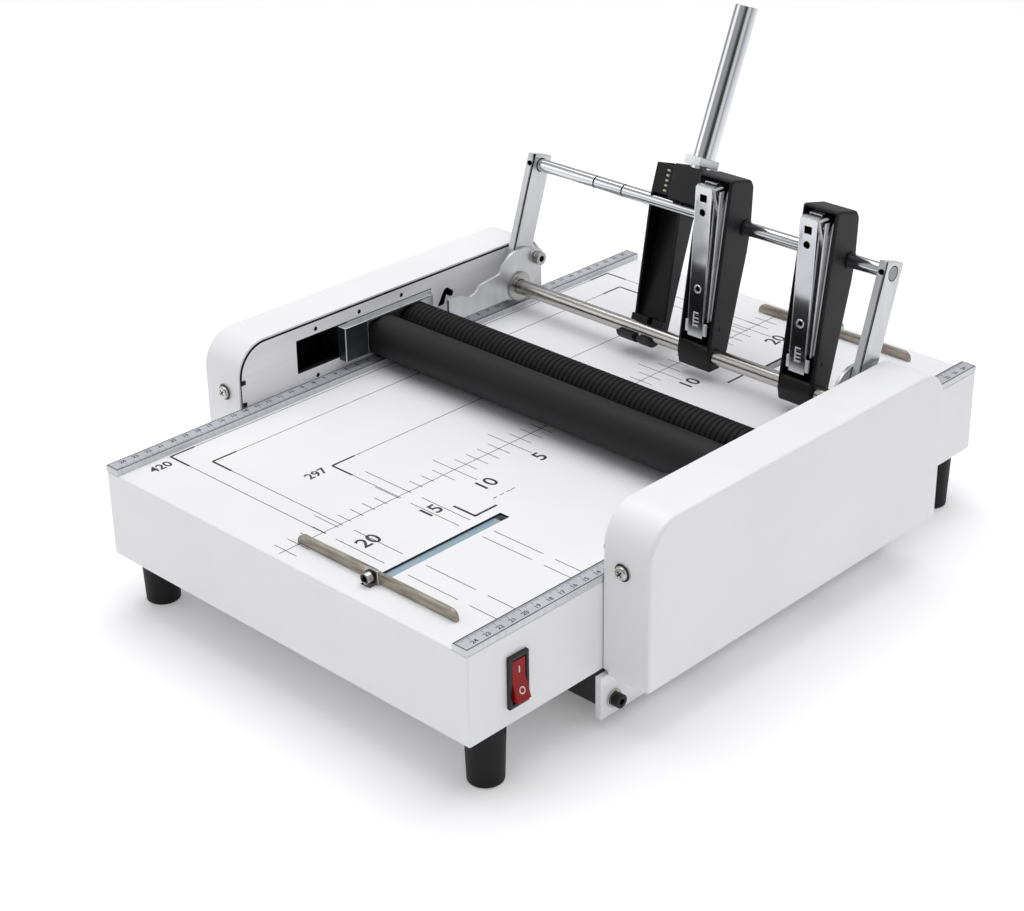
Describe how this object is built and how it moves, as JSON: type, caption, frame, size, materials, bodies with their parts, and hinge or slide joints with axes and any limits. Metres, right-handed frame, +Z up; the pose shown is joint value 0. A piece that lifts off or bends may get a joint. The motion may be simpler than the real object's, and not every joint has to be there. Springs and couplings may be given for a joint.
{
  "type": "booklet maker",
  "caption": "Desk booklet maker with a flat table, a hand-swung frame of saddle staplers, a sliding pair of folding rollers and a rising fold blade.",
  "frame": {"origin": "on the floor under the middle of the machine, below the fold line", "axes": "+X along the fold to the switch side, +Y from the front of the table to the back, +Z up"},
  "size_m": [0.397, 0.5, 0.3387],
  "materials": {
    "white_coat": "satin white powder coat",
    "black_coat": "satin black coat",
    "plate_steel": "fine brushed",
    "ruler_steel": "matt satin",
    "nickel": "satin nickel plate",
    "chrome": "mirror polish",
    "shaft_steel": "ground",
    "zinc_bar": "tumbled zinc",
    "screw_steel": "zinc plate",
    "black_screw": "black oxide",
    "black_plastic": "fine satin",
    "roller_rubber": "smooth matt",
    "foot_rubber": "moulded satin",
    "brass": "turned",
    "nylon": "moulded",
    "gear_steel": "cut",
    "motor_case": "satin",
    "board_green": "solder mask",
    "red_plastic": "polished"
  },
  "bodies": {
    "housing": {"base_shell": "white_coat", "undertray": "black_coat", "left_side_plate": "plate_steel", "right_side_plate": "plate_steel", "left_cover": "white_coat", "right_cover": "white_coat", "left_ruler": "ruler_steel", "right_ruler": "ruler_steel", "feet": "foot_rubber", "left_pivot_bracket": "nickel", "right_pivot_bracket": "nickel", "pivot_bushes": "brass", "stop_bolts": "screw_steel", "tray_screws": "black_screw", "case_screws": "screw_steel", "gear_studs": "shaft_steel", "drive_motor": "motor_case", "blade_motor": "motor_case", "blade_guides": "gear_steel", "lift_blocks": "gear_steel", "anvil_blocks": "chrome", "control_board": "board_green", "power_inlet": "black_plastic", "switch_frame": "black_plastic"},
    "stapling_frame": {"lower_shaft": "shaft_steel", "upper_shaft": "chrome", "left_arm": "nickel", "right_arm": "nickel", "carriage_sectors": "gear_steel", "lever_channel": "black_coat", "handle_block": "black_plastic", "handle_tube": "chrome", "handle_nut": "screw_steel", "left_stapler_body": "black_plastic", "right_stapler_body": "black_plastic", "magazine_pins": "shaft_steel", "shaft_clips": "screw_steel"},
    "magazine_of_left_stapler": {"left_magazine": "chrome"},
    "magazine_of_right_stapler": {"right_magazine": "chrome"},
    "roller_carriage": {"left_carriage": "plate_steel", "right_carriage": "plate_steel", "carriage_racks": "gear_steel", "roller_bushes": "brass"},
    "smooth_roller": {"smooth_roller_core": "shaft_steel", "smooth_roller_sleeve": "roller_rubber", "smooth_roller_gear": "nylon"},
    "ribbed_roller": {"ribbed_roller_core": "shaft_steel", "ribbed_roller_sleeve": "roller_rubber", "ribbed_roller_gears": "nylon"},
    "pinion_pair": {"carriage_pinions": "gear_steel"},
    "roller_idler": {"idler_gear": "nylon"},
    "motor_wheel": {"motor_gear": "nylon"},
    "blade": {"fold_blade": "shaft_steel", "blade_carrier": "gear_steel"},
    "blade_lift": {"lift_shaft": "gear_steel"},
    "front_stop": {"front_stop_bar": "zinc_bar", "front_stop_screw": "screw_steel"},
    "back_stop": {"back_stop_bar": "zinc_bar", "back_stop_screw": "screw_steel"},
    "rocker": {"switch_rocker": "red_plastic"}
  },
  "joints": [
    {"name": "frame_swing", "type": "hinge", "parent": "housing", "child": "stapling_frame", "pos_m": [0, 0.114, 0.1171], "axis": [1, 0, 0], "range_deg": [0, 98.5]},
    {"name": "carriage_slide", "type": "slide", "parent": "housing", "child": "roller_carriage", "axis": [0, 1, 0], "range_m": [-0.0453, 0]},
    {"name": "pinion_turn", "type": "hinge", "parent": "housing", "child": "pinion_pair", "pos_m": [0, 0.08837, 0.09147], "axis": [1, 0, 0], "range_deg": [-259.5, 0]},
    {"name": "ribbed_roller_turn", "type": "hinge", "parent": "roller_carriage", "child": "ribbed_roller", "pos_m": [0, 0.0153, 0.1179], "axis": [1, 0, 0], "continuous": true},
    {"name": "smooth_roller_turn", "type": "hinge", "parent": "roller_carriage", "child": "smooth_roller", "pos_m": [0, -0.0153, 0.1179], "axis": [1, 0, 0], "continuous": true},
    {"name": "roller_idler_turn", "type": "hinge", "parent": "housing", "child": "roller_idler", "pos_m": [0.1725, 0.05432, 0.1179], "axis": [1, 0, 0], "continuous": true},
    {"name": "motor_wheel_turn", "type": "hinge", "parent": "housing", "child": "motor_wheel", "pos_m": [0.1725, 0.06243, 0.0735], "axis": [1, 0, 0], "continuous": true},
    {"name": "blade_rise", "type": "slide", "parent": "housing", "child": "blade", "axis": [0, 0, 1], "range_m": [0, 0.012]},
    {"name": "blade_lift_turn", "type": "hinge", "parent": "housing", "child": "blade_lift", "pos_m": [0, 0.01825, 0.0585], "axis": [1, 0, 0], "range_deg": [-86.3, 0]},
    {"name": "left_magazine_press", "type": "hinge", "parent": "stapling_frame", "child": "magazine_of_left_stapler", "pos_m": [0.024, 0.11618, 0.13701], "axis": [1, 0, 0], "range_deg": [-6, 0], "stiffness_Nm_per_rad": 2, "springref_deg": 5.73},
    {"name": "right_magazine_press", "type": "hinge", "parent": "stapling_frame", "child": "magazine_of_right_stapler", "pos_m": [0.111, 0.11618, 0.13701], "axis": [1, 0, 0], "range_deg": [-6, 0], "stiffness_Nm_per_rad": 2, "springref_deg": 5.73},
    {"name": "front_stop_slide", "type": "slide", "parent": "housing", "child": "front_stop", "axis": [0, 1, 0], "range_m": [-0.004, 0.1]},
    {"name": "back_stop_slide", "type": "slide", "parent": "housing", "child": "back_stop", "axis": [0, 1, 0], "range_m": [-0.06, 0.004]},
    {"name": "rocker_tip", "type": "hinge", "parent": "housing", "child": "rocker", "pos_m": [0.162, -0.212, 0.067], "axis": [0, 1, 0], "range_deg": [0, 20]}
  ],
  "couplings": [
    {"joint": "carriage_slide", "follows": "frame_swing", "m_per_rad": -0.02625},
    {"joint": "pinion_turn", "follows": "frame_swing", "ratio": -2.625},
    {"joint": "smooth_roller_turn", "follows": "ribbed_roller_turn", "ratio": -1},
    {"joint": "roller_idler_turn", "follows": "ribbed_roller_turn", "ratio": -0.64516},
    {"joint": "motor_wheel_turn", "follows": "ribbed_roller_turn", "ratio": 0.71429},
    {"joint": "blade_lift_turn", "follows": "blade_rise", "rad_per_m": -125}
  ]
}
